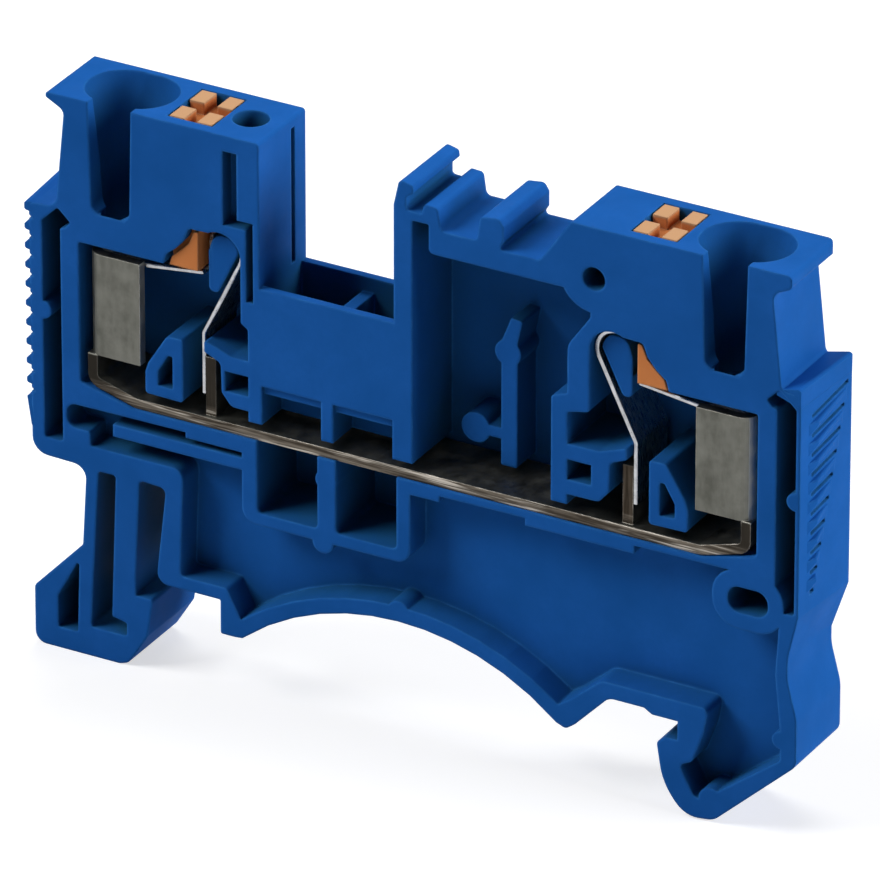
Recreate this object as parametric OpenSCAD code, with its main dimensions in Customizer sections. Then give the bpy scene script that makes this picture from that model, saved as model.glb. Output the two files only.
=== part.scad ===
// Feed-through terminal block for a 35 mm mounting rail, with push-in spring clamps and release buttons.
// X runs along the block, Y across it from the open side to the closed side, Z up from the rail's top.
// The origin is the middle of the rail, level with its top.

/* [Housing] */
// Width of the block across its open and closed sides
body_w = 5.2; // [5:0.05:6.2]
// Height of the two blocks above the rail
top_z = 29; // [28.6:0.1:31]
// Depth of the feet below the rail's top
foot_d = 5.8; // [5.6:0.1:7]
// Thickness of the left end, from the clamp chamber to the grip wall's face
left_wall = 3.15; // [3:0.05:4]
// Thickness of the right end, from the clamp chamber to the grip wall's face
right_wall = 2.6; // [2.5:0.05:4]
// How far the end walls lean out towards the closed side
end_flare = 0.4; // [0.2:0.05:0.9]
// Distance of the clamps' centre line from the middle of the rail
clamp_cx = 1; // [0.7:0.05:1.2]
// Thickness of the closed side
back_wall = 0.7; // [0.6:0.05:1]
// Depth of the recess below the current bar, the same from both sides
web_recess = 1.8; // [1.2:0.1:2]
// Thickness of the rim along the underside
rim = 0.95; // [0.8:0.05:1.2]
// Distance of the right block's top edge from the clamps' centre line
block_u = 9.75; // [9.5:0.05:10]
// Height of the ledges on which the upper blocks narrow
ledge_z = 22; // [21.8:0.1:22.5]
// Depth of the grip grooves in the end walls
grip_depth = 0.25; // [0.15:0.05:0.3]
// Pitch of the grip grooves
grip_pitch = 1.2; // [1.1:0.05:1.25]

/* [Rail seat] */
// Gap between the hook and the sprung leg, for a 35 mm rail
rail_gap = 35.2; // [35.1:0.05:35.6]
// Height of the slots that take the rail's edges
lip_slot = 1.2; // [1.1:0.05:1.5]
// Height of the arch between the seats above the rail's top
arch_top = 1.6; // [1.2:0.1:2]
// Radius of the arch
arch_r = 15.4; // [15:0.1:17]
// How far the sprung leg's nose reaches under the rail's edge
nose_reach = 1.8; // [1.4:0.1:2.2]
// How far the free leg stands in from the rail's edge, which it presses on
leg_press = 0.7; // [0.3:0.05:0.9]
// Distance of the arch's ends from the middle of the rail
arch_half = 10; // [9:0.1:10.4]
// Height above the rail at which the sprung leg joins the block
leg_root = 6.2; // [5.8:0.1:6.6]

/* [Conductor entries] */
// Distance of the conductor entries from the clamps' centre line
entry_u = 19.25; // [19.1:0.05:19.4]
// Diameter of the conductor bore
bore_d = 3.6; // [3:0.1:3.9]
// Length of the oval funnel mouth, along the block
funnel_l = 5.5; // [5:0.1:5.6]
// Width of the oval funnel mouth, across the block
funnel_w = 4.4; // [4.1:0.05:4.6]
// Width of the slot in the open side that shows the funnel
entry_slot_w = 2.8; // [2:0.1:3]
// Height of the funnel's foot
funnel_z = 22.2; // [21.9:0.1:22.6]
// Diameter of the test hole in the left block
test_d = 2.1; // [1.8:0.05:2.2]
// Depth of the test hole
test_depth = 5.4; // [4:0.1:5.6]
// Distance of the test hole from the clamps' centre line
test_u = 11.7; // [11.3:0.05:11.8]

/* [Current bar] */
// Height of the bar's underside above the rail
bar_z = 10.6; // [10.4:0.05:10.8]
// Thickness of the bar
bar_t = 0.6; // [0.5:0.05:0.75]
// Distance of the bar's upright ends from the clamps' centre line
bar_end_u = 20.6; // [20.5:0.05:20.8]
// Distance at which the bar's ends begin to rise
bar_rise_u = 17.8; // [17.6:0.1:18.2]
// Height that the bar's ends rise before they stand upright
bar_rise = 0.8; // [0.5:0.1:1.2]
// Width of the flange folded round on the open side
flange_w = 3.4; // [3:0.1:3.6]
// Height of the flange's lower edge above the clamps' base line
flange_low = 1.95; // [1.6:0.05:2.4]
// Outer radius of the fold between the upright end and its flange
fold_r = 0.9; // [0.8:0.05:1.2]
// Height of the tabs that back the springs above the clamps' base line
tab_h = 3.4; // [3:0.05:3.6]
// Thickness of the tabs
tab_t = 0.65; // [0.5:0.05:0.8]
// Bend radius of the bar's ends, to the middle of the strip
bar_bend = 0.6; // [0.5:0.05:0.9]

/* [Clamp] */
// Height of the clamps' base line above the rail
clamp_z = 11.4; // [11.3:0.05:11.6]
// Height of the clamp chamber above the base line
chamber_h = 8.8; // [8.6:0.05:9]
// Distance of the chamber's end wall from the clamps' centre line
chamber_u = 21.35; // [21.3:0.05:21.5]
// Thickness of the leaf springs
spring_t = 0.24; // [0.2:0.02:0.36]
// Width of the leaf springs
spring_w = 3.7; // [3:0.1:3.9]
// Radius of the spring's loop, to the middle of the leaf
loop_r = 1.2; // [1.1:0.05:1.25]
// Distance of the spring's upright leg from the clamps' centre line
leg_u = 13.6; // [13.5:0.05:13.7]
// Distance of the loop's middle inwards from the upright leg
loop_back = 1.25; // [1.2:0.05:1.3]
// Height of the loop's middle above the roof of the chamber
loop_rise = 1.35; // [1.25:0.05:1.45]
// Height of the bend in the spring's upright leg above the base line
bend_v = 4.85; // [4.6:0.05:5.2]

/* [Release buttons] */
// Distance of the release buttons from the clamps' centre line
button_u = 14.5; // [14.4:0.05:14.6]
// Length of a button along the block
button_l = 2.65; // [2.5:0.05:2.8]
// Width of a button across the block
button_w = 3.6; // [3.2:0.05:3.7]
// Running clearance round a button
button_gap = 0.12; // [0.08:0.01:0.16]
// Height of the four raised pads on a button
pad_h = 0.75; // [0.4:0.05:1]
// Width of the cross recess between the pads
cross_w = 0.85; // [0.7:0.05:1.2]

/* [Bridge shaft and marker groove] */
// Height of the bridge shaft's rim above the rail
rim_z = 20.1; // [19.8:0.1:20.6]
// Left wall of the bridge shaft, from the middle of the rail
shaft_left = -8.75; // [-8.8:0.05:-8.6]
// Right wall of the bridge shaft, from the middle of the rail
shaft_right = -0.25; // [-0.35:0.05:-0.15]
// Thickness of the shaft's side walls
shaft_wall = 0.5; // [0.4:0.05:0.55]
// Thickness of the divider between the two bridge slots
divider_t = 0.75; // [0.6:0.05:0.9]
// Depth of the marker groove below the blocks' top
groove_d = 2.8; // [2.5:0.05:3.2]
// Depth of the long rib's underside below the bar
rib_drop = 2.05; // [1.9:0.05:2.2]
// Diameter of the alignment hole beside the right block
peg_d = 1.4; // [1.1:0.05:1.6]
// Distance of the alignment hole from the clamps' centre line
peg_u = 11.2; // [11:0.05:11.6]
// Distance of the alignment hole below the blocks' top
peg_drop = 3.1; // [2.8:0.05:3.3]
// Depth of the alignment hole
peg_depth = 3; // [2:0.1:3.6]
// Height of the floor of the pits under the bridge shaft
pit_z = 6.1; // [5.7:0.1:6.5]
// Height of the windows between the shaft's wall and the bar
window_h = 2.1; // [1.6:0.1:2.4]
// Depth of the shaft's wide mouth
mouth_d = 1.2; // [0.8:0.1:1.6]

/* [Hidden] */

housing_blue = [0.07, 0.25, 0.62];
button_orange = [0.90, 0.52, 0.22];
tin_grey = [0.55, 0.53, 0.48];
spring_steel = [0.80, 0.81, 0.83];

arc_steps = 6;
$fn = 48;
past = 1;                                   // how far a cut runs past the face it opens
front_y = -body_w / 2;                      // open side
back_y = body_w / 2;                        // closed side
deep_y = back_y - back_wall;                // floor of the chambers
web_y = front_y + web_recess;               // floor of the recess below the bar
left_end = chamber_u + left_wall - clamp_cx;
right_end = chamber_u + right_wall + clamp_cx;
hook_x = rail_gap / 2;                      // wall of the hook's slot
leg_x = -rail_gap / 2;                      // wall of the sprung leg's slot
bar_v = bar_z - clamp_z;                     // the bar's underside from the clamps' base line
chamber_top = clamp_z + chamber_h;
rib_end = clamp_z + 0.3;                    // ribs end just above the bar
loop_v = chamber_h + loop_rise;             // height of the spring's loop above the base line
loop_u = leg_u - loop_back;                 // middle of the spring's loop
tip_v = chamber_h - 0.1;                    // foot of the button's tip above the base line
spring_front = front_y + 0.25;
bar_front = front_y + 0.15;
bar_back = deep_y - 0.05;
flange_front = front_y + 0.1;
shaft_mid = (shaft_left + shaft_right) / 2;
slot_l = (shaft_right - shaft_left - divider_t) / 2;  // length of each bridge slot
slot_front = front_y + web_recess + 1;      // front of the bridge slots below the windows
slot_step = clamp_z + window_h + 0.7;       // height at which the bridge slots widen
arch_low = arch_z(arch_half, 0);            // height of the arch's ends
peg_x = clamp_cx + peg_u;
peg_z = top_z - peg_drop;
bar_end_top = chamber_h - 0.55;             // top of the bar's upright ends above the base line
loop_gap = 0.08;                            // clearance round the spring's loop
loop_space = loop_r + spring_t / 2 + loop_gap;
lean = atan(end_flare / body_w);            // angle by which the end walls lean out
waist_top = leg_root + 2.1;                 // height at which the right end narrows to its waist
waist_in = 0.6;                             // depth of the waist

// Unit vector along v
function unit(v) = v / norm(v);
// Points of the round corner of radius b[2] at b, between its neighbours a and c
function corner(a, b, c) =
    b[2] == 0 ? [[b[0], b[1]]] :
    let (
        p = [b[0], b[1]],
        to_a = unit([a[0], a[1]] - p),
        to_c = unit([c[0], c[1]] - p),
        half = acos(to_a * to_c) / 2,
        mid = p + unit(to_a + to_c) * b[2] / sin(half),
        first = p + to_a * b[2] / tan(half) - mid,
        last = p + to_c * b[2] / tan(half) - mid,
        from = atan2(first[1], first[0]),
        turn = atan2(first[0] * last[1] - first[1] * last[0], first * last)
    )
    [for (k = [0 : arc_steps])
        mid + b[2] * [cos(from + turn * k / arc_steps), sin(from + turn * k / arc_steps)]];
// Closed outline with rounded corners, from points of [x, z, corner radius]
function rounded(p) =
    [for (i = [0 : len(p) - 1]) each corner(p[(i + len(p) - 1) % len(p)], p[i], p[(i + 1) % len(p)])];
// Open path with rounded bends, from points of [x, z, bend radius]
function bent(p) =
    [[p[0][0], p[0][1]],
     for (i = [1 : len(p) - 2]) each corner(p[i - 1], p[i], p[i + 1]),
     [p[len(p) - 1][0], p[len(p) - 1][1]]];
// Point i of an open path, moved sideways by d
function beside(p, i, d) =
    let (
        before = unit(i == 0 ? p[1] - p[0] : p[i] - p[i - 1]),
        after = i == len(p) - 1 ? before : unit(p[i + 1] - p[i]),
        normal = unit([-before[1] - after[1], before[0] + after[0]])
    )
    p[i] + normal * d / (normal * [-before[1], before[0]]);
// Outline of a strip of thickness t that follows an open path
function ribbon(p, t) =
    [for (i = [0 : len(p) - 1]) beside(p, i, t / 2),
     for (i = [len(p) - 1 : -1 : 0]) beside(p, i, -t / 2)];
// Height of the arch's circle at x, or of one that lies further out
function arch_z(x, grow) = arch_top - arch_r + sqrt(pow(arch_r + grow, 2) - x * x);
// Points on the same circle, from x = half to x = -half
function arch(half, grow) =
    [for (k = [0 : 12])
        let (x = half * (1 - k / 6))
        [x, arch_z(x, grow), 0]];

// Extrudes an outline of the side view from y0 to y1
module slab(y0, y1) {
    translate([0, y1, 0])
        rotate([90, 0, 0])
            linear_extrude(y1 - y0)
                children();
}
// Puts an outline of one clamp, drawn outwards and up from the clamps' base line, on one side
module clamp_side(side) {
    translate([clamp_cx, clamp_z])
        mirror([side < 0 ? 1 : 0, 0])
            children();
}

// Side view of the whole moulding
module housing_outline() {
    lip_u = entry_u + 4.05;
    wall_u = entry_u + 2.9;
    polygon(rounded(concat(
        [
            // top of the left block and the bridge shaft's notch
            [clamp_cx - lip_u, top_z, 0.12],
            [shaft_left, top_z, 0.2],
            [shaft_left, rim_z, 0],
            [shaft_right, rim_z, 0],
            // post with its hooked tip
            [shaft_right, top_z - 1.6, 0.3],
            [shaft_right + 0.35, top_z, 0.25],
            [shaft_right + 1.2, top_z - 0.2, 0.2],
            [shaft_right + 1.25, top_z - 0.6, 0.12],
            [shaft_right + 0.8, top_z - 1, 0.1],
            [shaft_right + 0.8, top_z - 1.75, 0.2],
            [shaft_right + 1.75, top_z - 1.8, 0.15],
            // low rib, marker rib and the grooves between them
            [shaft_right + 1.9, top_z - 1.15, 0.2],
            [shaft_right + 2.75, top_z - 1.2, 0.25],
            [shaft_right + 2.95, top_z - groove_d + 0.25, 0.35],
            [shaft_right + 5.2, top_z - groove_d + 0.25, 0.3],
            [shaft_right + 5.4, top_z - 1.05, 0.3],
            [shaft_right + 6.55, top_z - 0.9, 0.3],
            [shaft_right + 6.85, top_z - 1.35, 0.2],
            [shaft_right + 6.85, top_z - 2.25, 0.2],
            [shaft_right + 6.5, top_z - groove_d, 0.2],
            [clamp_cx + block_u - 1.9, top_z - groove_d, 0.5],
            // right block
            [clamp_cx + block_u, top_z, 0.25],
            [clamp_cx + lip_u, top_z, 0.3],
            [clamp_cx + lip_u, top_z - 0.75, 0.35],
            [clamp_cx + wall_u, top_z - 1.3, 0.7],
            [clamp_cx + wall_u + 0.6, ledge_z, 0.45],
            [right_end, ledge_z - 0.1, 0.3],
            // waist below the grip wall
            [right_end, waist_top, 4],
            [right_end - waist_in, leg_root - 0.5, 3],
            [right_end - waist_in, leg_root - 1.9, 3],
            [right_end, leg_root - 4.2, 3],
            // hook under the rail's right edge
            [right_end, -0.9, 0.8],
            [hook_x + 2.3, -foot_d + 0.2, 1.2],
            [hook_x + 0.5, -foot_d, 1.6],
            [hook_x - 0.9, -foot_d + 1.7, 4],
            [hook_x - 1.3, -lip_slot - 0.4, 0.4],
            [hook_x - 0.8, -lip_slot, 0.2],
            [hook_x, -lip_slot, 0],
            [hook_x, 0, 0],
            [hook_x - 1.6, 0, 0.2],
            [hook_x - 2.1, 0.3, 0.3],
            [hook_x - 4.3, 0.3, 0.8],
            [arch_half + 1.2, arch_low + 0.2, 0.3],
            [arch_half + 0.6, arch_low - 0.25, 0.4]
        ],
        arch(arch_half, 0),
        [
            [-arch_half - 0.5, arch_low - 0.05, 0.15],
            [-arch_half - 1.4, arch_low - 0.05, 0.12],
            [-arch_half - 1.4, 0, 0.1],
            // seat and the gap behind it that lets the leg spring back
            [leg_x + 2.05, 0, 0.7],
            [leg_x + 2.75, leg_root - 0.1, 0.4],
            [leg_x + 1, leg_root, 0.3],
            [leg_x + leg_press, 0, 0],
            [leg_x + leg_press, -lip_slot, 0],
            // sprung leg with its nose under the rail's left edge
            [leg_x + nose_reach, -lip_slot, 0.2],
            [leg_x + nose_reach - 0.35, -lip_slot - 2.4, 0.4],
            [leg_x + 0.2, -foot_d + 0.2, 0.7],
            [leg_x - 0.4, -foot_d, 0.6],
            [-left_end, -foot_d, 0.7],
            [-left_end, -2.2, 0.5],
            [leg_x - 2.7, 1.2, 0.3],
            [leg_x - 2.4, leg_root, 0.8],
            [-left_end, leg_root + 0.1, 1],
            // left end wall
            [-left_end, ledge_z - 0.1, 0.3],
            [clamp_cx - wall_u - 0.6, ledge_z, 0.8],
            [clamp_cx - wall_u, top_z - 0.9, 0.5],
            [clamp_cx - lip_u, top_z - 0.3, 0.1]
        ]
    )));
}

// Slots that make the left foot a spring, and the pocket for the tip of a screwdriver
module foot_slot() {
    polygon(rounded([
        [leg_x - 1.65, leg_root - 0.1, 0.2],
        [leg_x - 0.5, leg_root - 0.1, 0.2],
        [leg_x - 0.85, -foot_d + 2.9, 0.15],
        [leg_x + 0.1, -foot_d + 2.7, 0.15],
        [leg_x + 0.1, -foot_d + 1.85, 0.2],
        [leg_x - 2.25, -foot_d + 1.85, 0.2]
    ]));
}
module lever_pocket() {
    polygon(rounded([
        [leg_x - 2.95, 0.2, 0.1],
        [leg_x - 3.1, -foot_d + 1.3, 0.15],
        [leg_x - 4.4, -foot_d + 1.3, 0.15],
        [leg_x - 4.4, -foot_d + 3.3, 0.3]
    ]));
}

// Field between the bar and the rim, with the ribs that stand in it up to the open side
module web_field() {
    difference() {
        polygon(rounded(concat(
            [
                [leg_x - 3.65, bar_z - 0.65, 0.6],
                [clamp_cx + bar_end_u - 0.7, bar_z - 0.35, 0.3],
                [right_end - 1.1, bar_z - 2, 0.3],
                [right_end - 1.35, 4.5, 1],
                [right_end - 1, 1, 0.5],
                [right_end - 1, -0.8, 0.3],
                [hook_x + 1.2, -foot_d + 1.05, 0.5],
                [hook_x + 0.1, -lip_slot - 1.5, 0.3],
                [hook_x + 0.9, -lip_slot - 1.1, 0.4],
                [hook_x + 1.6, -0.4, 0.4],
                [hook_x + 1.9, 0.3 + rim, 0.4],
                [hook_x - 4.8, 0.3 + rim, 0.8],
                [arch_half + 0.9, arch_low + 1.7, 0.2]
            ],
            arch(arch_half + 0.1, rim),
            [
                [-arch_half - 0.75, 0.3, 0.2],
                [-arch_half - 1, rim - 0.15, 0.3],
                [leg_x + 3.6, rim - 0.15, 0.3],
                [leg_x + 3.85, leg_root + 1.35, 0.7],
                [leg_x - 2.15, leg_root + 1.35, 0.2],
                [leg_x - 2.15, leg_root + 2.25, 0.15],
                [leg_x - 3.65, leg_root + 2.25, 0.6]
            ]
        )));
        // box round the two pits, with the bump under its divider, and the bump on the arch
        polygon(rounded([
            [shaft_left - 1.2, bar_z + past, 0],
            [shaft_right + 1, bar_z + past, 0],
            [shaft_right + 1, pit_z - 0.75, 0.9],
            [shaft_left - 1.2, pit_z - 0.75, 0.9]
        ]));
        translate([shaft_mid - 0.3, pit_z - 0.8])
            circle(0.65);
        translate([0, arch_top + rim * 0.6])
            circle(0.7);
        // ribs under the bar
        translate([clamp_cx - entry_u, bar_z - rib_drop])
            square([shaft_left - clamp_cx + entry_u, 0.75]);
        translate([shaft_left - 4.8, bar_z - 0.95])
            square([4.8, 0.95]);
        translate([shaft_right, bar_z - 0.85])
            square([2.85, 0.85]);
        translate([clamp_cx + 7, bar_z - 0.9])
            square([6.8, 0.9]);
        // eye near the right end
        eye(4.4, 3.6);
        translate([right_end - 0.95, 0.5])
            circle(0.55);
        translate([hook_x + 2.1, -foot_d + 1.4])
            circle(0.75);
    }
}
// Round-ended rectangle of length l and height h at the eye near the right end
module eye(l, h) {
    translate([right_end - 3.1, bar_z - 2.05])
        polygon(rounded([
            [-l / 2, -h / 2, h * 0.45], [l / 2, -h / 2, h * 0.45],
            [l / 2, h / 2, h * 0.45], [-l / 2, h / 2, h * 0.45]
        ]));
}

// The two pits under the bridge shaft, with the bump on the divider between them
module bridge_pits() {
    difference() {
        for (x = [shaft_left - 0.25, shaft_right + 0.15 - slot_l])
            polygon(rounded([
                [x, bar_z + past, 0],
                [x + slot_l, bar_z + past, 0],
                [x + slot_l, pit_z, 0.3],
                [x, pit_z, 0.3]
            ]));
        translate([shaft_mid - 0.1, bar_z - 1.35])
            circle(0.65);
    }
}

// Deep opening of one clamp: spring loop, button notch, wire space and the channel for the bar's end
module clamp_chamber(side) {
    inner_u = loop_u - loop_r - (side < 0 ? 0.65 : 1.55);
    difference() {
        union() {
            polygon(rounded([
                [chamber_u, chamber_h, 0.15],
                [button_u + 1.38, chamber_h, 0],
                [button_u + 1.2, chamber_h + 0.62, 0.2],
                [button_u + 0.6, chamber_h + 1.1, 0.3],
                [button_u + 0.05, chamber_h + 1.75, 0.4],
                [button_u - 0.25, chamber_h + 2.55, 0.3],
                [loop_u, chamber_h + 2.6, 0],
                [loop_u - loop_space, loop_v, 0],
                [loop_u - loop_space, bend_v + 1.45, 0.2],
                [inner_u, 6, 0.2],
                [inner_u, bar_v, 0],
                [bar_rise_u + 0.2, bar_v, 0],
                [bar_end_u + bar_t / 2, bar_v + bar_rise - 0.08, 0],
                [chamber_u, bar_v + bar_rise + 0.08, 0.3]
            ]));
            translate([loop_u, loop_v])
                circle(loop_space);
        }
        // three-cornered post beside the wire
        polygon(rounded([
            [leg_u + 1.1, 0.4, 0.2],
            [leg_u + 1.1, 4.3, 0.15],
            [leg_u + 2.1, 4.3, 0.3],
            [leg_u + 3.3, 2.4, 0.3],
            [leg_u + 3.5, 1.8, 0.3],
            [leg_u + 3.5, 0.45, 0.2]
        ]));
        // block that backs the bar's upright tab
        polygon(rounded([
            [inner_u - past, 0.9, 0],
            [leg_u - 2, 0.95, 0.5],
            [leg_u - 1.4, 1.7, 0.3],
            [leg_u - 1.35, tab_h + 0.1, 0.4],
            [leg_u - 0.3, tab_h + 0.55, 0.1],
            [leg_u - 0.3, bend_v - 0.2, 0.1],
            [leg_u - 2, bend_v - 0.8, 0.8],
            [inner_u - past, bend_v - 0.85, 0]
        ]));
    }
}
// Boss that the spring's loop lies round
module loop_boss() {
    boss_r = loop_r - spring_t / 2 - 0.13;
    polygon(rounded([
        [loop_u - boss_r, loop_v + 0.1, 0.5],
        [loop_u - boss_r * 0.58, loop_v + boss_r * 0.95, 0.7],
        [loop_u + boss_r * 0.65, loop_v + boss_r * 0.92, 0.7],
        [loop_u + boss_r, loop_v - 0.2, 0.3],
        [loop_u + boss_r, loop_v - 2.6, 0.3],
        [loop_u + 0.4, loop_v - 2.7, 0.3]
    ]));
}
// Small cored holes in the post and in the block
module clamp_cores(side) {
    polygon(rounded([
        [leg_u + 1.75, 1.05, 0.1],
        [leg_u + 2.7, 1.1, 0.1],
        [leg_u + 2.7, 2, 0.2],
        [leg_u + 2.05, 3.1, 0.1],
        [leg_u + 1.75, 3.1, 0.1]
    ]));
    translate([leg_u - (side < 0 ? 2.35 : 3.25), 2.45])
        square([1.5, 1.25], center = true);
}
// Narrow channel behind the grip wall, from low_z up to its arrow-shaped head
module grip_channel(low_z) {
    low_v = low_z - clamp_z;
    head_v = ledge_z - clamp_z;
    difference() {
        polygon(rounded([
            [chamber_u + 1.15, low_v, 0.2],
            [chamber_u + 2.35, low_v, 0.2],
            [chamber_u + 2.35, head_v - 1, 0.2],
            [chamber_u + 1.3, head_v, 0.15],
            [chamber_u + 0.5, head_v - 0.75, 0.1],
            [chamber_u + 0.85, head_v - 1.15, 0.1],
            [chamber_u + 1.15, head_v - 1.25, 0.1]
        ]));
        translate([chamber_u + 2.35, 4])
            circle(0.55);
    }
}

// Deep recess in the middle, with the wall of the right clamp as its right side
module centre_recess() {
    right_u = loop_u - loop_r - 0.25;
    recess_top = top_z - groove_d - 1.25;
    difference() {
        polygon(rounded([
            [shaft_right + 1.15, bar_z, 0],
            [shaft_right + 1.15, top_z - 2.3, 0.1],
            [shaft_right + 2.2, top_z - 2.3, 0.1],
            [shaft_right + 2.2, recess_top, 0.3],
            [clamp_cx + right_u + 0.1, recess_top, 0],
            [clamp_cx + right_u + 0.1, top_z - 5.5, 0.2],
            [clamp_cx + right_u - 1.3, top_z - 7.5, 1.2],
            [clamp_cx + right_u - 1.3, clamp_z + 7.1, 0.2],
            [clamp_cx + right_u - 2.3, clamp_z + 6.8, 0.3],
            [clamp_cx + right_u - 2.3, bar_z, 0]
        ]));
        translate([peg_x, peg_z])
            circle(peg_d / 2 + 1.4);
    }
}
// Low rib with its two round bosses on the floor of the middle recess
module recess_rib() {
    x = shaft_right + 5.45;
    polygon(rounded([
        [x, rib_end, 0.1],
        [x + 1, rib_end, 0.1],
        [x + 1, rim_z - 0.7, 0.2],
        [x + 1.3, rim_z + 0.7, 0.1],
        [x + 0.6, rim_z + 0.8, 0.1],
        [x, rim_z - 0.8, 0.2]
    ]));
    translate([x + 0.4, rim_z - 1.4])
        circle(0.8);
    translate([x - 1.6, clamp_z + 2.2])
        circle(0.9);
    translate([x - 1.6, clamp_z + 1.9])
        square([1.8, 0.65]);
}

// Windows of height h above the bar, at the foot of the bridge shaft
module bar_windows(h) {
    for (x = [shaft_left + 0.1, shaft_right - slot_l])
        translate([x, bar_z])
            square([slot_l - 0.1, h - bar_v]);
}

// Bridge shaft: a wide mouth with a step, then two slots parted by a divider
module bridge_shaft() {
    translate([shaft_left, front_y + shaft_wall, rim_z - mouth_d])
        cube([shaft_right - shaft_left, body_w - 2 * shaft_wall, mouth_d + past]);
    for (x = [shaft_left, shaft_right - slot_l]) {
        translate([x, front_y + shaft_wall, slot_step])
            cube([slot_l, body_w - 2 * shaft_wall, rim_z - slot_step]);
        translate([x, slot_front, bar_z])
            cube([slot_l, back_y - shaft_wall - slot_front, slot_step - bar_z + past]);
    }
    // the closed side ends a little lower than the open one
    translate([shaft_left, back_y - shaft_wall - past, rim_z - 0.3])
        cube([shaft_right - shaft_left, shaft_wall + 2 * past, 1]);
    // slit down the side of the left block
    translate([shaft_left - 0.3, front_y + 3.6, rim_z])
        cube([0.6, 0.4, top_z - rim_z - 0.6]);
}

// Oval funnel, conductor bore and the slot that opens the funnel to the open side
module conductor_entry(side) {
    x = clamp_cx + side * entry_u;
    spread = (funnel_l - funnel_w) / 2;
    funnel_h = top_z - funnel_z;
    foot_w = entry_slot_w - 0.35;
    slot_fall = 37;
    // three cones side by side widen the round bore to the oval mouth
    for (k = [-1, 0, 1])
        translate([x + k * spread, 0, funnel_z])
            let (neck_d = bore_d - 2 * abs(k) * spread)
                cylinder(h = funnel_h + past, d1 = neck_d,
                         d2 = funnel_w + (funnel_w - neck_d) * past / funnel_h);
    translate([x, 0, chamber_top - past])
        cylinder(h = funnel_z - chamber_top + 2 * past, d = bore_d);
    slab(front_y - past, 0)
        polygon(rounded([
            [x - foot_w / 2, funnel_z, 0.6],
            [x + foot_w / 2, funnel_z, 0.6],
            [x + entry_slot_w / 2, top_z + past, 0],
            [x - entry_slot_w / 2, top_z + past, 0]
        ]));
    translate([x - foot_w / 2 + 0.3, 0, funnel_z])
        rotate([90, 0, 90])
            linear_extrude(foot_w - 0.6)
                polygon([[front_y, 0], [0, 0.1], [0, front_y * tan(slot_fall)]]);
}

// Guide of one release button
module button_guide(side) {
    translate([clamp_cx + side * button_u, 0, (chamber_top + top_z + past) / 2])
        cube([button_l + 2 * button_gap, button_w + 2 * button_gap, top_z + past - chamber_top], center = true);
}

// Slit in the front of the left block
module block_slit() {
    x = clamp_cx - loop_u;
    polygon([
        [x + 0.3, top_z - 0.95], [x + 1.2, top_z - 0.95], [x + 1.2, top_z - 5],
        [x + 2.2, top_z - 5], [x + 2.2, clamp_z + 7.7], [x + 1.75, clamp_z + 7.7],
        [x + 1.75, top_z - 5.5], [x + 0.3, top_z - 5.5]
    ]);
}

// Frame of one end wall: turned with the wall's lean, from its front corner outwards and back
module leaning(side) {
    translate([side < 0 ? -left_end : right_end, front_y, 0])
        mirror([side < 0 ? 1 : 0, 0, 0])
            rotate([0, 0, -lean])
                children();
}
// Strip that makes an end wall lean out towards the closed side, and runs out into the wall at low_z
module end_lean(side, low_z) {
    intersection() {
        leaning(side)
            slab(0, body_w + past)
                polygon([
                    [-1, ledge_z - 0.3],
                    [0, ledge_z - 0.3],
                    [0, waist_top],
                    [-1, low_z]
                ]);
        translate([-left_end - past, front_y, -foot_d])
            cube([left_end + right_end + 2 * past, body_w, top_z + foot_d]);
    }
}
// Grip grooves of the end walls: right across on the left, rising and shorter towards the foot on the right
module grip_grooves() {
    groove_start = 1.2;
    groove_rise = 10;
    count = floor((ledge_z - waist_top - 1.5) / grip_pitch);
    for (k = [0 : count - 1]) {
        z = ledge_z - 1.1 - k * grip_pitch;
        leaning(-1)
            slab(-past, body_w + past)
                grip_notch(z);
        leaning(1)
            translate([0, groove_start, z - 0.8])
                rotate([groove_rise, 0, 0])
                    slab(0, (body_w - groove_start - 0.3) * (1 - k / count))
                        grip_notch(0);
    }
}
// Notch of one grip groove at height z: level below and slanted above
module grip_notch(z) {
    polygon([
        [-grip_depth, z],
        [past, z],
        [past, z + past + grip_depth]
    ]);
}
// Cuts the rear corner of the right block's lip round
module lip_corner() {
    lip_r = 0.6;
    lip_h = 1.5;
    translate([clamp_cx + entry_u + 4.05 - lip_r, back_y - lip_r, top_z - lip_h])
        difference() {
            cube([lip_r + past, lip_r + past, lip_h + past]);
            translate([0, 0, -past])
                cylinder(h = lip_h + 3 * past, r = lip_r);
        }
}

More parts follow.
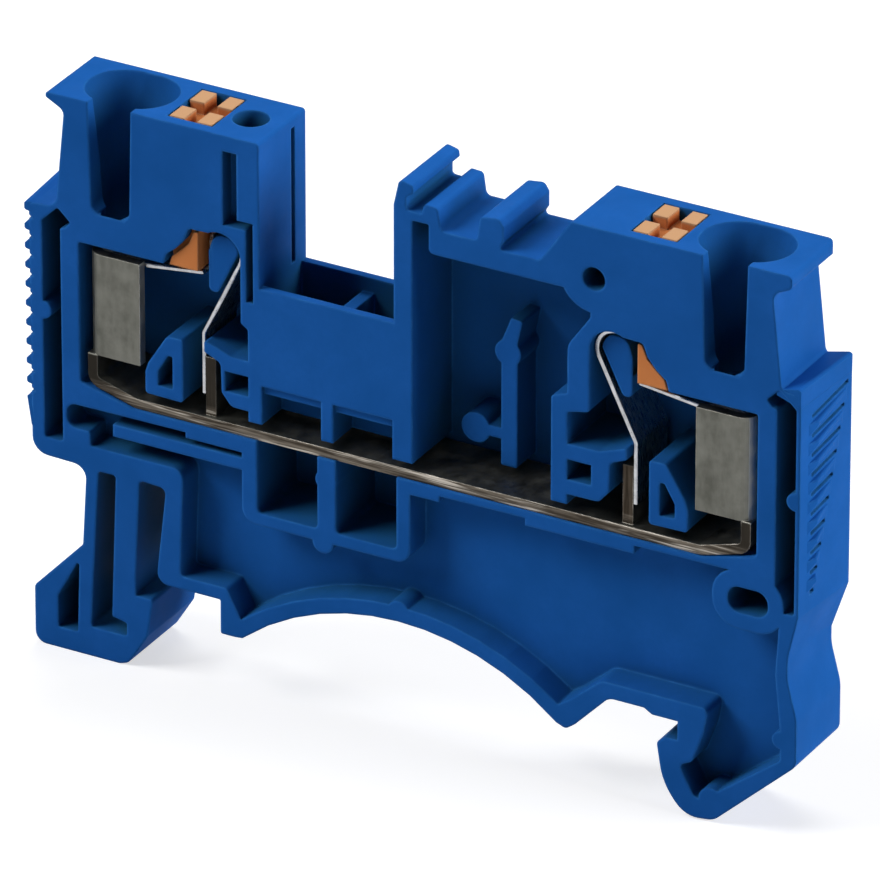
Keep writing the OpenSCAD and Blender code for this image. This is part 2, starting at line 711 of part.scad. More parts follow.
module housing() {
    color(housing_blue)
        difference() {
            union() {
                difference() {
                    union() {
                        slab(front_y, back_y)
                            housing_outline();
                        end_lean(-1, leg_root + 0.9);
                        end_lean(1, waist_top - 3);
                    }
                    slab(front_y - past, deep_y) {
                        clamp_side(-1)
                            clamp_chamber(-1);
                        clamp_side(1)
                            clamp_chamber(1);
                        centre_recess();
                    }
                    slab(front_y - past, deep_y)
                        bridge_pits();
                    slab(front_y - past, front_y + 2.2)
                        bar_windows(window_h);
                    slab(front_y - past, front_y + 0.35)
                        bar_windows(window_h + 0.6);
                    slab(front_y - past, deep_y)
                        translate([clamp_cx - bar_rise_u, bar_z])
                            square([2 * bar_rise_u, rib_end - bar_z]);
                    slab(front_y - past, web_y)
                        web_field();
                    slab(back_y - web_recess, back_y + past)
                        web_field();
                    slab(front_y - past, back_y + past)
                        foot_slot();
                    slab(front_y - past, deep_y)
                        lever_pocket();
                    slab(front_y - past, front_y + 3.6) {
                        clamp_side(-1)
                            grip_channel(leg_root + 1.2);
                        difference() {
                            clamp_side(1)
                                grip_channel(waist_top + 0.1);
                            eye(4.4, 3.6);
                        }
                    }
                }
                slab(front_y + 0.6, back_y - 0.1) {
                    clamp_side(-1)
                        loop_boss();
                    clamp_side(1)
                        loop_boss();
                }
                slab(front_y + 2.35, back_y - 0.1)
                    recess_rib();
            }
            slab(front_y - past, front_y + 2.5) {
                clamp_side(-1)
                    clamp_cores(-1);
                clamp_side(1)
                    clamp_cores(1);
            }
            slab(front_y - past, front_y + 3)
                eye(2.5, 1.6);
            slab(front_y - past, front_y + 1)
                block_slit();
            lip_corner();
            bridge_shaft();
            for (side = [-1, 1]) {
                conductor_entry(side);
                button_guide(side);
            }
            translate([clamp_cx - test_u, 0, top_z - test_depth])
                cylinder(h = test_depth + past, d = test_d);
            translate([peg_x, front_y - past, peg_z])
                rotate([-90, 0, 0])
                    cylinder(h = past + peg_depth, d = peg_d);
            grip_grooves();
        }
}

// Folded strip: flat under the springs, rising to an upright end with a flange at each clamp
module current_bar() {
    half = bar_t / 2;
    mid_v = bar_v + half;
    color(tin_grey)
        difference() {
            union() {
                slab(bar_front, bar_back)
                    translate([clamp_cx, clamp_z])
                        polygon(ribbon(bent([
                            [-bar_end_u, flange_low, 0],
                            [-bar_end_u, mid_v + bar_rise, bar_bend],
                            [-bar_rise_u, mid_v, bar_bend],
                            [bar_rise_u, mid_v, bar_bend],
                            [bar_end_u, mid_v + bar_rise, bar_bend],
                            [bar_end_u, flange_low, 0]
                        ]), bar_t));
                for (side = [-1, 1]) {
                    // upright end and the flange folded round from it
                    translate([clamp_cx, 0, clamp_z + flange_low])
                        mirror([side < 0 ? 1 : 0, 0, 0])
                            linear_extrude(bar_end_top - flange_low)
                                polygon(ribbon(bent([
                                    [bar_end_u + half - flange_w, flange_front + half, 0],
                                    [bar_end_u, flange_front + half, fold_r - half],
                                    [bar_end_u, bar_back, 0]
                                ]), bar_t));
                    // tab that backs the spring's upright leg
                    slab(spring_front + 0.2, spring_front + spring_w - 0.2)
                        clamp_side(side)
                            translate([leg_u - spring_t / 2 - tab_t, mid_v])
                                square([tab_t, tab_h - mid_v]);
                }
            }
            // slots for the bridge's legs
            for (x = [shaft_left, shaft_mid + divider_t / 2])
                translate([x + 0.4, slot_front + 0.2, bar_z - past])
                    cube([slot_l - 0.8, bar_back - slot_front - 0.55, bar_t + 2 * past]);
        }
}

// Leaf spring: upright leg on the bar's tab, loop round the boss, clamping leg under the button
module leaf_spring(side) {
    leg = [
        [leg_u, 1.1, 0],
        [leg_u, bend_v, 0.5]
    ];
    // the leg's slant runs onto the loop where it touches it
    slant = [loop_back, bend_v - loop_v];
    touch = 360 + atan2(slant[1], slant[0]) - acos(loop_r / norm(slant));
    loop = [for (k = [0 : 14])
        let (a = touch * (1 - k / 14))
        [loop_u + loop_r * cos(a), loop_v + loop_r * sin(a), 0]];
    clamping = [
        [loop_u + loop_r - 0.02, chamber_h - 0.32, 0.35],
        [bar_end_u + bar_t / 2 - flange_w - 0.15, chamber_h - 0.8, 0]
    ];
    tongue_end = [bar_end_u - bar_t / 2 - 0.15, chamber_h - 1.5, 0];
    color(spring_steel)
        union() {
            slab(spring_front, spring_front + spring_w)
                clamp_side(side)
                    polygon(ribbon(bent(concat(leg, loop, clamping)), spring_t));
            // the clamping leg narrows to a tongue that passes behind the bar's flange
            slab(flange_front + bar_t + 0.15, spring_front + spring_w)
                clamp_side(side)
                    polygon(ribbon(bent(concat(leg, loop, clamping, [tongue_end])), spring_t));
        }
}
module left_spring() { leaf_spring(-1); }
module right_spring() { leaf_spring(1); }

// Release button: a square shaft with four pads round a cross recess, and a wedge tip over the spring
module release_button(side) {
    half_l = button_l / 2;
    pad_z = top_z - pad_h;
    neck_v = loop_v + loop_r + 0.5;
    inner = leg_u + 0.2 - button_u;
    x = clamp_cx + side * button_u;
    color(button_orange)
        union() {
            slab(-button_w / 2, button_w / 2)
                clamp_side(side)
                    translate([button_u, 0])
                        polygon([
                            [-half_l, pad_z - clamp_z], [half_l, pad_z - clamp_z],
                            [half_l, tip_v + 1.4], [half_l - 0.2, tip_v],
                            [inner, tip_v], [inner, neck_v], [-half_l, neck_v + 0.2]
                        ]);
            slab(front_y + 0.25, 0)
                clamp_side(side)
                    translate([button_u, 0])
                        polygon([
                            [inner, tip_v], [half_l - 0.2, tip_v], [half_l - 0.37, tip_v + 0.55],
                            [0.48, tip_v + 0.98], [-0.1, tip_v + 1.55], [-0.45, tip_v + 2.35],
                            [inner, tip_v + 2.4]
                        ]);
            for (sx = [-1, 1], sy = [-1, 1])
                translate([x + sx * (button_l + cross_w) / 4, sy * (button_w + cross_w) / 4,
                           pad_z + pad_h / 2 - 0.05])
                    cube([(button_l - cross_w) / 2, (button_w - cross_w) / 2, pad_h + 0.1], center = true);
        }
}
module left_release_button() { release_button(-1); }
module right_release_button() { release_button(1); }

housing();
current_bar();
left_spring();
right_spring();
left_release_button();
right_release_button();
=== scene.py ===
import math

import bmesh
import bpy
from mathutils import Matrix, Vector


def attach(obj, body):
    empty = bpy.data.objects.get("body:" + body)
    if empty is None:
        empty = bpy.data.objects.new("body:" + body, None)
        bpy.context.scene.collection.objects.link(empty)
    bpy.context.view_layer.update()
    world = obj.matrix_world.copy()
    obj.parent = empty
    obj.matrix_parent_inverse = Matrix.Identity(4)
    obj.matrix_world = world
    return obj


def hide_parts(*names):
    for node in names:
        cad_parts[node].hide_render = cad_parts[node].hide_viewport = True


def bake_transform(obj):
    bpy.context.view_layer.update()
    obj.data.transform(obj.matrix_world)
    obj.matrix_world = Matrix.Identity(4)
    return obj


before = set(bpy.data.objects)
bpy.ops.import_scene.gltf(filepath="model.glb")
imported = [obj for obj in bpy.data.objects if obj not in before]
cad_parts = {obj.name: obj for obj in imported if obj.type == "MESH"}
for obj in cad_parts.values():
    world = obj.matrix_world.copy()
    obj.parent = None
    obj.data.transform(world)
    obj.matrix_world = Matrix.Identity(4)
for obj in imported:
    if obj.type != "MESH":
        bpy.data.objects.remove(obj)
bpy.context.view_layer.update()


# Housing: the blue body that carries everything, with the rail feet at its underside.
# It is one injection moulding in polyamide, satin from a finely eroded mould, with edges
# rounded by the tool, lightly rubbed where blocks are pushed together on the rail and given
# a painted highlight, and with painted shade darkening its recesses.
def blank_finish(name):
    """A new material with a principled surface, its nodes and its links."""
    finish = bpy.data.materials.new(name)
    finish.use_nodes = True
    nodes, links = finish.node_tree.nodes, finish.node_tree.links
    nodes.clear()
    surface = nodes.new("ShaderNodeBsdfPrincipled")
    sheet = nodes.new("ShaderNodeOutputMaterial")
    links.new(surface.outputs["BSDF"], sheet.inputs["Surface"])
    return finish, nodes, links, surface


def cloud(nodes, links, place, size_mm, detail=3.0, stretch=(1, 1, 1)):
    """Noise whose clouds are about size_mm across, squeezed along each axis by stretch."""
    squeeze = nodes.new("ShaderNodeMapping")
    squeeze.inputs["Scale"].default_value = [1000 / size_mm * s for s in stretch]
    links.new(place, squeeze.inputs["Vector"])
    noise = nodes.new("ShaderNodeTexNoise")
    noise.inputs["Scale"].default_value = 1.0
    noise.inputs["Detail"].default_value = detail
    noise.inputs["Roughness"].default_value = 0.6
    links.new(squeeze.outputs["Vector"], noise.inputs["Vector"])
    return noise.outputs["Fac"]


def spread(nodes, links, value, low, high, new_low, new_high):
    """Maps a value from one range onto another, clamped at both ends."""
    scale = nodes.new("ShaderNodeMapRange")
    scale.inputs["From Min"].default_value = low
    scale.inputs["From Max"].default_value = high
    scale.inputs["To Min"].default_value = new_low
    scale.inputs["To Max"].default_value = new_high
    links.new(value, scale.inputs["Value"])
    return scale.outputs["Result"]


def tint(nodes, links, share, first, second):
    """Colour between first and second by share. Each is a colour or another node's output."""
    mix = nodes.new("ShaderNodeMix")
    mix.data_type = "RGBA"
    links.new(share, mix.inputs["Factor"])
    for socket, colour in ((mix.inputs[6], first), (mix.inputs[7], second)):
        if isinstance(colour, tuple):
            socket.default_value = (*colour, 1)
        else:
            links.new(colour, socket)
    return mix.outputs[2]


def times(nodes, links, first, second):
    """Product of two values."""
    product = nodes.new("ShaderNodeMath")
    product.operation = "MULTIPLY"
    links.new(first, product.inputs[0])
    links.new(second, product.inputs[1])
    return product.outputs["Value"]


def rounded_edges(nodes, links, radius_mm):
    """Normal that rolls over the edges, and how far it departs from the flat faces there."""
    roll = nodes.new("ShaderNodeBevel")
    roll.samples = 6
    roll.inputs["Radius"].default_value = radius_mm / 1000
    face = nodes.new("ShaderNodeNewGeometry")
    agree = nodes.new("ShaderNodeVectorMath")
    agree.operation = "DOT_PRODUCT"
    links.new(roll.outputs["Normal"], agree.inputs[0])
    links.new(face.outputs["True Normal"], agree.inputs[1])
    return roll.outputs["Normal"], spread(nodes, links, agree.outputs["Value"], 1.0, 0.75, 0.0, 1.0)


def moulded_polyamide(name, deep, tone, rubbed_and_highlit, edge_mm, painted_recess_shade, top_mm=1000.0, chalky=(1, 1, 1)):
    """Satin polyamide: cloudy pigment, grain, painted shade in recesses, pale edges partly rubbed and partly
    a painted highlight, and chalky above top_mm.
    """
    finish, nodes, links, surface = blank_finish(name)
    place = nodes.new("ShaderNodeTexCoord").outputs["Object"]
    pigment = spread(nodes, links, cloud(nodes, links, place, 5.0), 0.3, 0.7, 0.0, 1.0)
    speck = spread(nodes, links, cloud(nodes, links, place, 0.35, 2.0), 0.35, 0.75, 0.0, 0.35)
    body_colour = tint(nodes, links, speck, tint(nodes, links, pigment, deep, tone), deep)
    where = nodes.new("ShaderNodeSeparateXYZ")
    links.new(place, where.inputs["Vector"])
    touched = spread(nodes, links, where.outputs["Z"], top_mm / 1000 - 0.00015, top_mm / 1000, 0.0, 1.0)
    body_colour = tint(nodes, links, touched, body_colour, chalky)
    # Painted shade: the more closed in a place is, the more its colour is darkened towards the pit colour.
    shade_reach = nodes.new("ShaderNodeAmbientOcclusion")
    shade_reach.samples = 4
    shade_reach.only_local = True
    shade_reach.inputs["Distance"].default_value = 0.009
    unshaded_share = spread(nodes, links, shade_reach.outputs["AO"], 0.15, 0.6, 0.0, 1.0)
    body_colour = tint(nodes, links, unshaded_share, painted_recess_shade, body_colour)
    # Painted highlight: bevelled edges are tinted pale, partly as rubbed wear and partly to stand in for
    # light caught on them.
    normal, edge = rounded_edges(nodes, links, edge_mm)
    patches = spread(nodes, links, cloud(nodes, links, place, 1.4), 0.35, 0.7, 0.15, 0.75)
    wear_and_highlight = times(nodes, links, edge, patches)
    links.new(tint(nodes, links, wear_and_highlight, body_colour, rubbed_and_highlit), surface.inputs["Base Color"])
    satin = spread(nodes, links, cloud(nodes, links, place, 2.2), 0.3, 0.7, 0.52, 0.66)
    links.new(satin, surface.inputs["Roughness"])
    grain = nodes.new("ShaderNodeBump")
    grain.inputs["Strength"].default_value = 0.18
    grain.inputs["Distance"].default_value = 0.00003
    links.new(cloud(nodes, links, place, 0.12, 4.0), grain.inputs["Height"])
    links.new(normal, grain.inputs["Normal"])
    links.new(grain.outputs["Normal"], surface.inputs["Normal"])
    surface.inputs["IOR"].default_value = 1.5
    surface.inputs["Specular IOR Level"].default_value = 0.025
    return finish


def dress(node, finish):
    """Gives a solid of the frame its finish."""
    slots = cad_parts[node].data.materials
    slots.clear()
    slots.append(finish)


BLUE = dict(
    deep=(0.009, 0.098, 0.375),
    tone=(0.0135, 0.121, 0.463),
    # pale edge colour: partly rubbed wear, partly painted highlight
    rubbed_and_highlit=(0.04, 0.24, 0.68),
    # colour of the painted shade in recesses
    painted_recess_shade=(0.014, 0.085, 0.160),
)
dress("housing", moulded_polyamide("blue_polyamide", edge_mm=0.24, **BLUE))


# Grip ribs: the teeth and ribs of the end walls, which give fingers a hold when the block is
# pulled off the rail. They are moulded in one with the housing, straight across the left wall,
# and on the right wall, under a raised lip, they rise and run out towards the closed side.
LEFT_FACE, RIGHT_FACE = -23.5, 24.95  # the end walls' faces at the open side, mm along the block
FLARE, HALF_WIDTH = 0.4, 2.6          # how far they lean out towards the closed side, across the block
LEDGE = 22.0                          # top of the end walls, mm above the rail
RIB_PITCH, RIB_COUNT = 1.2, 10
TOOTH_H, TOOTH_OUT = 0.5, 0.3         # height of a tooth, and how far it stands out of the wall
TOP_TOOTH, LOW_TOOTH = 0.65, 1.9      # heights of the taller teeth at the wall's two ends
ROOT_IN = 0.3                         # depth in the wall from which a root is sunk
PROUD, SUNK = 0.01, 0.03              # a tooth's end against the wall's sides, and its root's


def ribs(name, face, outward, bars):
    """Bars on an end wall, each given by rings along it: points (out of the wall, y, z)."""
    body = bmesh.new()
    for bar in bars:
        rings = []
        for ring in bar:
            rings.append([])
            for out, y, z in ring:
                x = face + outward * (out + FLARE * (y + HALF_WIDTH) / (2 * HALF_WIDTH))
                rings[-1].append(body.verts.new((x / 1000, y / 1000, z / 1000)))
        body.faces.new(rings[0])
        body.faces.new(rings[-1])
        for first, last in zip(rings, rings[1:]):
            for k in range(len(first)):
                body.faces.new((first[k - 1], first[k], last[k], last[k - 1]))
    bmesh.ops.recalc_face_normals(body, faces=body.faces)
    mesh = bpy.data.meshes.new(name)
    body.to_mesh(mesh)
    body.free()
    mesh.materials.append(rib_finish)
    piece = bpy.data.objects.new(name, mesh)
    bpy.context.scene.collection.objects.link(piece)
    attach(piece, "housing")


def across(profile, climb=0.0):
    """Bar with one profile right across a wall, its root sunk in the wall, climbing to the closed side."""
    rings = []
    for side in (-1, 1):
        rings.append([(out, side * (HALF_WIDTH + (PROUD if out > -ROOT_IN else -SUNK)), z + climb * side)
                      for out, z in profile])
    return rings


def tooth(low, high, low_out=TOOTH_OUT, root=0.4, dip=0.0):
    """Tooth between two heights, with rounded corners. It stands out by low_out at its foot."""
    return across([(-root, low), (0.0, low), (0.75 * low_out, low + 0.04), (low_out, low + 0.13),
                   (TOOTH_OUT, high - 0.13), (TOOTH_OUT - 0.08, high - 0.04), (0.0, high),
                   (-root, high - dip)])


rib_finish = moulded_polyamide("blue_polyamide_ribs", edge_mm=0.08, **BLUE)
feet = [LEDGE - TOP_TOOTH - RIB_PITCH * k for k in range(RIB_COUNT)]
low_top = feet[-1] + TOOTH_H - RIB_PITCH
teeth = [tooth(feet[0], LEDGE - 0.06, root=0.9, dip=0.06)]
teeth += [tooth(z, z + TOOTH_H) for z in feet[1:]]
teeth.append(tooth(low_top - LOW_TOOTH, low_top, low_out=0.05))
ribs("left_grip_teeth", LEFT_FACE, -1, teeth)

LIP_ROOT, LIP_TOP = -1.5, LEDGE + 0.35   # the right wall's lip: its inner end, and its top
FIRST_RIB = LEDGE - 2.375                # middle of the uppermost rib at its start
RIB_START, RIB_LENGTH = -1.4, 3.6        # across the block: where the ribs start, and the longest
RIB_OUT, RIB_END_OUT = 0.28, 0.04        # how far a rib stands out, and how far at its far end
RIB_RISE = math.tan(math.radians(10))
lip = across([(LIP_ROOT, LEDGE - 0.3), (0.0, LEDGE - 0.8), (0.01, LIP_TOP - 0.1), (-0.08, LIP_TOP - 0.02),
              (-0.2, LIP_TOP), (LIP_ROOT, LEDGE + 0.05)], climb=0.05)
rising = [lip]
for k in range(RIB_COUNT - 1):
    length = RIB_LENGTH * (1 - (k + 0.5) / RIB_COUNT)
    rings = []
    for run, out in ((-0.35, 0.0), (0.2, RIB_OUT), (length, RIB_END_OUT)):
        y, middle = RIB_START + run, FIRST_RIB - RIB_PITCH * k + run * RIB_RISE
        rings.append([(-0.1, y, middle - 0.48), (0.0, y, middle - 0.45), (out, y, middle + 0.04),
                      (out, y, middle + 0.2), (0.7 * out, y, middle + 0.28), (-0.1, y, middle + 0.33)])
    rising.append(rings)
ribs("right_grip_ribs", RIGHT_FACE, 1, rising)


# Current bar: the folded conductor that lies under both clamps and stands up at its ends.
# It is stamped from copper strip with a dull tin plating. The plating is mottled grey on the
# faces, with pale edges that are partly worn and partly a painted highlight, and the flanges' +X faces
# lightened as painted light. The sheared front edge shows brown copper with bright burrs, darker
# towards its ends, and the left end and tab carry painted shade.
FLANGE_START = 16.0  # mm along the block from the clamps' centre line
FLANGE_FOOT = 13.25  # mm above the rail
FLAT_TOP = 11.3      # top of the bar's flat run, mm above the rail
tin, nodes, links, surface = blank_finish("dull_tin_on_copper")
place = nodes.new("ShaderNodeTexCoord").outputs["Object"]
mottle = spread(nodes, links, cloud(nodes, links, place, 1.6, 4.0), 0.35, 0.65, 0.0, 1.0)
rolled = spread(nodes, links, cloud(nodes, links, place, 0.5, 3.0, (1, 0.15, 0.25)), 0.35, 0.7, 0.0, 0.5)
plating = tint(nodes, links, mottle, (0.085, 0.086, 0.074), (0.135, 0.136, 0.120))
plating = tint(nodes, links, rolled, plating, (0.165, 0.165, 0.148))
where, facing = nodes.new("ShaderNodeSeparateXYZ"), nodes.new("ShaderNodeSeparateXYZ")
links.new(place, where.inputs["Vector"])
links.new(nodes.new("ShaderNodeTexCoord").outputs["Normal"], facing.inputs["Vector"])
off_middle = nodes.new("ShaderNodeMath")
off_middle.operation = "ABSOLUTE"
links.new(spread(nodes, links, where.outputs["X"], -0.024, 0.026, -25.0, 25.0), off_middle.inputs[0])
beyond = spread(nodes, links, off_middle.outputs["Value"], FLANGE_START, FLANGE_START + 0.1, 0.0, 1.0)
above = spread(nodes, links, where.outputs["Z"], FLANGE_FOOT / 1000, (FLANGE_FOOT + 0.05) / 1000, 0.0, 1.0)
flange = times(nodes, links, beyond, above)
sheared = times(nodes, links, spread(nodes, links, facing.outputs["Y"], -0.6, -0.9, 0.0, 1.0),
                spread(nodes, links, flange, 0.0, 1.0, 1.0, 0.0))
streak = spread(nodes, links, cloud(nodes, links, place, 0.15, 3.0, (0.05, 1, 1)), 0.4, 0.7, 0.0, 1.0)
burr = spread(nodes, links, cloud(nodes, links, place, 0.2, 2.0, (0.04, 1, 1)), 0.56, 0.66, 0.0, 0.8)
flat_cut = tint(nodes, links, streak, (0.040, 0.032, 0.024), (0.170, 0.147, 0.120))
flat_cut = tint(nodes, links, burr, flat_cut, (0.52, 0.48, 0.42))
upright_cloud = cloud(nodes, links, place, 0.22, 3.0, (1, 1, 0.06))
upright_streak = spread(nodes, links, upright_cloud, 0.4, 0.75, 0.0, 1.0)
upright_cut = tint(nodes, links, upright_streak, (0.026, 0.020, 0.014), (0.085, 0.068, 0.052))
# The upright cut is darker towards both ends. Left of X = -10 mm the same dark colour is a painted shade over
# the end and tab.
end_darkening_and_shade = (0.018, 0.016, 0.013)
at_ends = spread(nodes, links, off_middle.outputs["Value"], 17.5, 18.5, 0.0, 0.8)
upright_cut = tint(nodes, links, at_ends, upright_cut, end_darkening_and_shade)
left_painted_shade = spread(nodes, links, where.outputs["X"], -0.010, -0.009, 0.8, 0.0)
upright_cut = tint(nodes, links, left_painted_shade, upright_cut, end_darkening_and_shade)
standing = spread(nodes, links, where.outputs["Z"], FLAT_TOP / 1000, (FLAT_TOP + 0.5) / 1000, 0.0, 1.0)
copper = tint(nodes, links, standing, flat_cut, upright_cut)
tin_normal, tin_edge = rounded_edges(nodes, links, 0.1)
faces = tint(nodes, links, sheared, plating, copper)
# Painted light: the flanges' faces turned towards +X are lightened to stand in for light on them.
painted_light_side = times(nodes, links, flange, spread(nodes, links, facing.outputs["X"], 0.6, 0.9, 0.0, 1.0))
faces = tint(nodes, links, painted_light_side, faces, (0.50, 0.50, 0.46))
# Pale edges: partly worn plating and partly a painted highlight; left of the middle they fade out as painted
# shade.
bare = spread(nodes, links, cloud(nodes, links, place, 0.8), 0.4, 0.7, 0.1, 0.8)
edge_wear_and_highlight = times(nodes, links, tin_edge, bare)
edge_wear_and_highlight = times(nodes, links, edge_wear_and_highlight, spread(nodes, links, where.outputs["X"], -0.012, -0.006, 0.2, 1.0))
links.new(tint(nodes, links, edge_wear_and_highlight, faces, (0.55, 0.51, 0.45)), surface.inputs["Base Color"])
dull = spread(nodes, links, cloud(nodes, links, place, 0.9, 4.0), 0.3, 0.7, 0.36, 0.6)
links.new(dull, surface.inputs["Roughness"])
pitting = nodes.new("ShaderNodeBump")
pitting.inputs["Strength"].default_value = 0.25
pitting.inputs["Distance"].default_value = 0.00003
links.new(cloud(nodes, links, place, 0.25, 4.0), pitting.inputs["Height"])
links.new(tin_normal, pitting.inputs["Normal"])
links.new(pitting.outputs["Normal"], surface.inputs["Normal"])
surface.inputs["Metallic"].default_value = 1.0
dress("current_bar", tin)


# Leaf springs: a stainless strip in each clamp, bent from one piece with an upright leg on the
# bar's tab, a loop round the moulded boss and a clamping leg that the release button pushes down.
# The strip is rolled bright, so its faces show fine lines along its length and its edges shine.
spring_steel, nodes, links, surface = blank_finish("rolled_stainless_strip")
place = nodes.new("ShaderNodeTexCoord").outputs["Object"]
lines = spread(nodes, links, cloud(nodes, links, place, 0.3, 3.0, (0.5, 4, 0.5)), 0.35, 0.65, 0.0, 1.0)
stain = spread(nodes, links, cloud(nodes, links, place, 1.2), 0.45, 0.75, 0.0, 0.5)
strip_colour = tint(nodes, links, lines, (0.30, 0.31, 0.33), (0.52, 0.53, 0.55))
links.new(tint(nodes, links, stain, strip_colour, (0.34, 0.34, 0.34)), surface.inputs["Base Color"])
links.new(spread(nodes, links, lines, 0.0, 1.0, 0.22, 0.36), surface.inputs["Roughness"])
scratch = nodes.new("ShaderNodeBump")
scratch.inputs["Strength"].default_value = 0.15
scratch.inputs["Distance"].default_value = 0.00001
links.new(cloud(nodes, links, place, 0.12, 2.0, (0.3, 3, 0.3)), scratch.inputs["Height"])
links.new(scratch.outputs["Normal"], surface.inputs["Normal"])
surface.inputs["Metallic"].default_value = 1.0

CLAMP_MID = 1.0        # clamps' centre line, mm along the block: u is counted outwards from it
CLAMP_LINE = 11.4      # clamps' base line, mm above the rail: v is counted up from it
STRIP_T, EASE = 0.24, 0.045
STRIP_FRONT, STRIP_BACK = -2.15, 1.35
WAIST_FRONT = -1.35    # the strip has a waist beside the button's wedge
WAIST_U = 13.7         # up to which the strip keeps its waist
WAIST_STEPS = 9        # points of the loop over which it narrows
ARM_FRONT = -1.95      # the clamping leg passes behind the wedge
TONGUE_FRONT = -1.75   # clear of the bar's flange, behind which the tongue passes
LOOP_U, LOOP_V, LOOP_R = 12.35, 10.15, 1.2
LOOP_STEPS = 28
LEG_U, LEG_FOOT = 13.6, 1.1
LEG_BEND, LEG_BEND_R = 4.85, 0.5
CORNER_V, CORNER_R = 8.48, 0.35        # corner between the loop and the clamping leg
ARM_U, ARM_V = 14.1, 8.408             # first point of the clamping leg's straight run
ARM_POINTS, ARM_STEP, ARM_FALL = 11, 0.32, 0.0402
FLANGE_U, FLANGE_V = 17.35, 8.0        # where the strip narrows, just before the flange
TONGUE_POINTS, TONGUE_STEP, TONGUE_FALL = 10, 0.28, 0.07


def bend(before, at, after, radius, steps=8):
    """Points of a round bend of that radius at a corner."""
    at = Vector(at)
    back, on = (Vector(before) - at).normalized(), (Vector(after) - at).normalized()
    half = back.angle(on) / 2
    middle = at + (back + on).normalized() * radius / math.sin(half)
    first, last = at + back * radius / math.tan(half) - middle, at + on * radius / math.tan(half) - middle
    turn = math.atan2(first.x * last.y - first.y * last.x, first.dot(last))
    start = math.atan2(first.y, first.x)
    return [middle + radius * Vector((math.cos(start + turn * k / steps), math.sin(start + turn * k / steps)))
            for k in range(steps + 1)]


def strip(name, side, path, fronts):
    """Rolled strip along a path of clamp points, with its front edge at each point, and eased edges."""
    half, flat, back = STRIP_T / 2, STRIP_T / 2 - EASE, STRIP_BACK
    corners, faces = [], []
    for i, point in enumerate(path):
        ahead = (path[min(i + 1, len(path) - 1)] - path[max(i - 1, 0)]).normalized()
        through = Vector((-ahead.y, ahead.x))
        front = fronts[i]
        ring = [(half, front + EASE), (flat, front), (-flat, front), (-half, front + EASE),
                (-half, back - EASE), (-flat, back), (flat, back), (half, back - EASE)]
        for off, y in ring:
            p = point + through * off
            corners.append(((CLAMP_MID + side * p.x) / 1000, y / 1000, (CLAMP_LINE + p.y) / 1000))
    count = len(ring)
    for i in range(0, len(corners) - count, count):
        for k in range(count):
            following = (k + 1) % count
            quad = (i + k, i + following, i + count + following, i + count + k)
            faces.append(quad if side > 0 else quad[::-1])
    ends = [tuple(range(count)), tuple(range(len(corners) - count, len(corners)))]
    faces += [ends[0][::-1], ends[1]] if side > 0 else [ends[0], ends[1][::-1]]
    mesh = bpy.data.meshes.new(name)
    mesh.from_pydata(corners, [], faces)
    mesh.materials.append(spring_steel)
    piece = bpy.data.objects.new(name, mesh)
    bpy.context.scene.collection.objects.link(piece)
    return piece


slant = Vector((LEG_U - LOOP_U, LEG_BEND - LOOP_V))
touch = math.tau + math.atan2(slant.y, slant.x) - math.acos(LOOP_R / slant.length)
turns = [touch * (1 - k / LOOP_STEPS) for k in range(LOOP_STEPS + 1)]
loop = [Vector((LOOP_U + LOOP_R * math.cos(a), LOOP_V + LOOP_R * math.sin(a))) for a in turns]
leg = [Vector((LEG_U, LEG_FOOT)), *bend((LEG_U, LEG_FOOT), (LEG_U, LEG_BEND), loop[0], LEG_BEND_R)]
loop_right = LOOP_U + LOOP_R
arm_run = [Vector((ARM_U + ARM_STEP * k, ARM_V - ARM_FALL * k)) for k in range(ARM_POINTS)]
tongue = [Vector((FLANGE_U + TONGUE_STEP * k, FLANGE_V - TONGUE_FALL * k))
          for k in range(1, TONGUE_POINTS + 1)]
clamping = [*bend(loop[-1], (loop_right - 0.02, CORNER_V), (FLANGE_U, FLANGE_V), CORNER_R), *arm_run,
            Vector((FLANGE_U, FLANGE_V)), Vector((FLANGE_U + 0.05, FLANGE_V - 0.01)), *tongue]
crown = max(range(len(loop)), key=lambda k: loop[k].y)
for side, hand in ((-1, "left"), (1, "right")):
    root_path = leg + loop[:crown + 1]
    root = strip(f"{hand}_spring_root", side, root_path, [STRIP_FRONT] * len(root_path))
    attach(root, "housing")
    arm_path = loop[crown:] + clamping
    arm_fronts = []
    for k, p in enumerate(arm_path):
        if p.x < WAIST_U:
            arm_fronts.append(STRIP_FRONT + (WAIST_FRONT - STRIP_FRONT) * min(k / WAIST_STEPS, 1))
        else:
            arm_fronts.append(ARM_FRONT if p.x < FLANGE_U + 0.02 else TONGUE_FRONT)
    arm = strip(f"{hand}_spring_arm", side, arm_path, arm_fronts)
    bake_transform(arm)
    for piece in (root, arm):
        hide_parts(f"{hand}_spring")


# Release buttons: two orange pushers, each in a square guide beside a conductor entry.
# They are small polyamide mouldings that rest on the spring's clamping leg. The four pads
# on top take the blade of a screwdriver, so their edges are the most rubbed; the pale edge tint
# is also a painted highlight, and their recesses carry painted shade.
orange = moulded_polyamide(
    "orange_polyamide",
    deep=(0.66, 0.222, 0.070),
    tone=(0.80, 0.297, 0.102),
    # pale edge colour: partly rubbed wear, partly painted highlight
    rubbed_and_highlit=(0.80, 0.46, 0.26),
    edge_mm=0.16,
    # colour of the painted shade in recesses
    painted_recess_shade=(0.30, 0.090, 0.030),
    top_mm=28.95,
    chalky=(0.60, 0.34, 0.18),
)
dress("left_release_button", orange)
dress("right_release_button", orange)


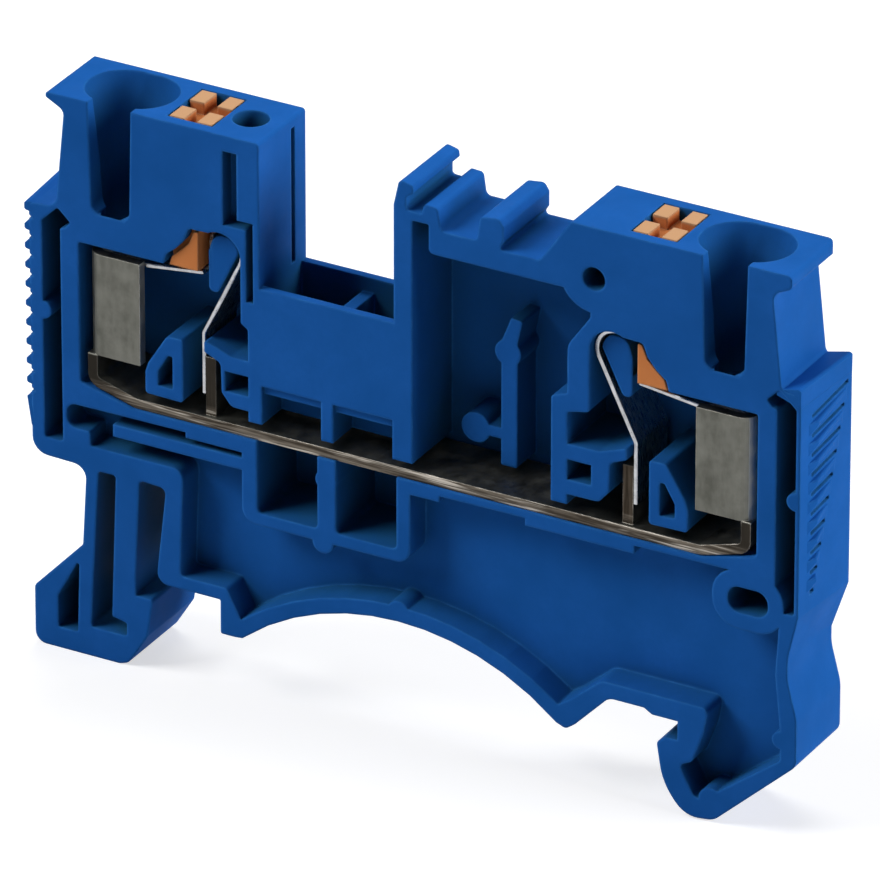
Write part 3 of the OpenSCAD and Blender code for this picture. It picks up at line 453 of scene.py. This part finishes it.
# Studio: a plain white sweep under the block, a softbox on its left, one low on its right and one
# above it, and a lens about as long as the one that took the photograph.
def lamp(name, place, aim, size, watts):
    """Square soft lamp at a place, turned to an aim point."""
    light = bpy.data.lights.new(name, "AREA")
    light.size = size
    light.energy = watts
    stand = bpy.data.objects.new(name, light)
    stand.location = place
    stand.rotation_euler = (Vector(aim) - Vector(place)).to_track_quat("-Z", "Y").to_euler()
    bpy.context.scene.collection.objects.link(stand)


block_middle = (0.0007, 0, 0.0116)
lamp("left_softbox", (-0.55, -0.40, 0.65), block_middle, 0.45, 6.2)
lamp("right_softbox", (0.77, 0.13, 0.32), block_middle, 0.4, 5.6)
lamp("overhead_softbox", (-0.05, 0.30, 0.70), block_middle, 0.4, 2.1)

FLOOR_HALF, FLOOR_Z = 4, -0.00581   # metres, with the floor just under the feet
floor_corners = [(FLOOR_HALF * x, FLOOR_HALF * y, FLOOR_Z) for x, y in ((-1, -1), (1, -1), (1, 1), (-1, 1))]
floor_mesh = bpy.data.meshes.new("floor")
floor_mesh.from_pydata(floor_corners, [], [(0, 1, 2, 3)])
floor = bpy.data.objects.new("floor", floor_mesh)
bpy.context.scene.collection.objects.link(floor)


def seen_share(nodes, links):
    """One for the rays that show a surface: from the camera, in gloss and through glass."""
    path = nodes.new("ShaderNodeLightPath")
    first = nodes.new("ShaderNodeMath")
    first.operation = "MAXIMUM"
    links.new(path.outputs["Is Camera Ray"], first.inputs[0])
    links.new(path.outputs["Is Glossy Ray"], first.inputs[1])
    both = nodes.new("ShaderNodeMath")
    both.operation = "MAXIMUM"
    links.new(first.outputs["Value"], both.inputs[0])
    links.new(path.outputs["Is Transmission Ray"], both.inputs[1])
    return both.outputs["Value"]


paper = bpy.data.materials.new("white_paper")
paper.use_nodes = True
nodes, links = paper.node_tree.nodes, paper.node_tree.links
nodes.clear()
matte = nodes.new("ShaderNodeBsdfDiffuse")
matte.inputs["Color"].default_value = (0.58, 0.58, 0.58, 1)
glow = nodes.new("ShaderNodeEmission")
glow.inputs["Color"].default_value = (1, 1, 1, 1)
links.new(spread(nodes, links, seen_share(nodes, links), 0.0, 1.0, 0.0, 0.6), glow.inputs["Strength"])
both_looks = nodes.new("ShaderNodeAddShader")
links.new(matte.outputs["BSDF"], both_looks.inputs[0])
links.new(glow.outputs["Emission"], both_looks.inputs[1])
sheet = nodes.new("ShaderNodeOutputMaterial")
links.new(both_looks.outputs["Shader"], sheet.inputs["Surface"])
floor_mesh.materials.append(paper)

scene = bpy.context.scene
scene.world = bpy.data.worlds.new("white_room")
scene.world.use_nodes = True
nodes, links = scene.world.node_tree.nodes, scene.world.node_tree.links
room = nodes["Background"]
room.inputs["Color"].default_value = (1, 1, 1, 1)
links.new(spread(nodes, links, seen_share(nodes, links), 0.0, 1.0, 0.04, 1.0), room.inputs["Strength"])

camera_data = bpy.data.cameras.new("camera")
camera_data.lens = 531
camera_data.sensor_width = 36
camera_data.clip_start, camera_data.clip_end = 0.05, 20
camera = bpy.data.objects.new("camera", camera_data)
camera.location = (0.310774, -0.554898, 0.343602)
camera.rotation_euler = [math.radians(a) for a in (62.4473, -0.0044, 29.159)]
scene.collection.objects.link(camera)
scene.camera = camera
scene.view_settings.view_transform = "Standard"
